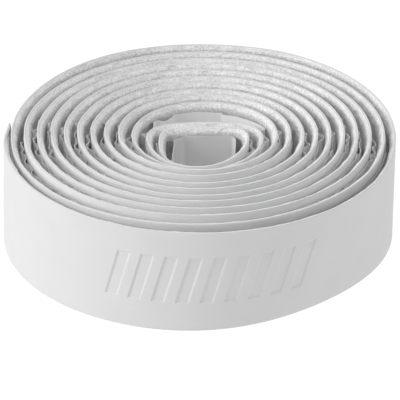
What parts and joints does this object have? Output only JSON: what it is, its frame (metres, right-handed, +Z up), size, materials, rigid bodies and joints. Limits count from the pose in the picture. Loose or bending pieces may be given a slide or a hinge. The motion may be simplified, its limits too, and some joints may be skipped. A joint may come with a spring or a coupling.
{
  "type": "grip tape roll",
  "caption": "Cushioned white racket grip tape with felt backing, adhesive and release liner, wound into a loose spiral with a peelable free end.",
  "frame": {"origin": "centre of the roll's outline, at the plane that it stands on", "axes": "+Z up along the winding axis, -Y towards the front of the roll, +X to its right"},
  "size_m": [0.0884, 0.0886, 0.0262],
  "materials": {
    "skin": "smooth matte white polyurethane",
    "felt": "fuzzy needle-punched felt",
    "adhesive": "pale tacky pressure-sensitive adhesive",
    "liner": "thin translucent release film"
  },
  "bodies": {
    "roll": {"roll_skin": "skin", "roll_felt": "felt", "roll_adhesive": "adhesive", "roll_liner": "liner"},
    "tail_1": {"tail_1_skin": "skin", "tail_1_felt": "felt", "tail_1_adhesive": "adhesive", "tail_1_liner": "liner"},
    "tail_2": {"tail_2_skin": "skin", "tail_2_felt": "felt", "tail_2_adhesive": "adhesive", "tail_2_liner": "liner"},
    "tail_3": {"tail_3_skin": "skin", "tail_3_felt": "felt", "tail_3_adhesive": "adhesive", "tail_3_liner": "liner"},
    "tail_4": {"tail_4_skin": "skin", "tail_4_felt": "felt", "tail_4_adhesive": "adhesive", "tail_4_liner": "liner"}
  },
  "joints": [
    {"name": "tail_1_peel", "type": "hinge", "parent": "roll", "child": "tail_1", "pos_m": [-0.0039, -0.04431, 0], "axis": [0, 0, 1], "range_deg": [0, 40]},
    {"name": "tail_2_peel", "type": "hinge", "parent": "tail_1", "child": "tail_2", "pos_m": [-0.02051, -0.03944, 0], "axis": [0, 0, 1], "range_deg": [0, 40]},
    {"name": "tail_3_peel", "type": "hinge", "parent": "tail_2", "child": "tail_3", "pos_m": [-0.03401, -0.02859, 0], "axis": [0, 0, 1], "range_deg": [0, 40]},
    {"name": "tail_4_peel", "type": "hinge", "parent": "tail_3", "child": "tail_4", "pos_m": [-0.04235, -0.01328, 0], "axis": [0, 0, 1], "range_deg": [0, 40]}
  ],
  "couplings": [
    {"joint": "tail_2_peel", "follows": "tail_1_peel", "ratio": 1},
    {"joint": "tail_3_peel", "follows": "tail_1_peel", "ratio": 1},
    {"joint": "tail_4_peel", "follows": "tail_1_peel", "ratio": 1}
  ]
}
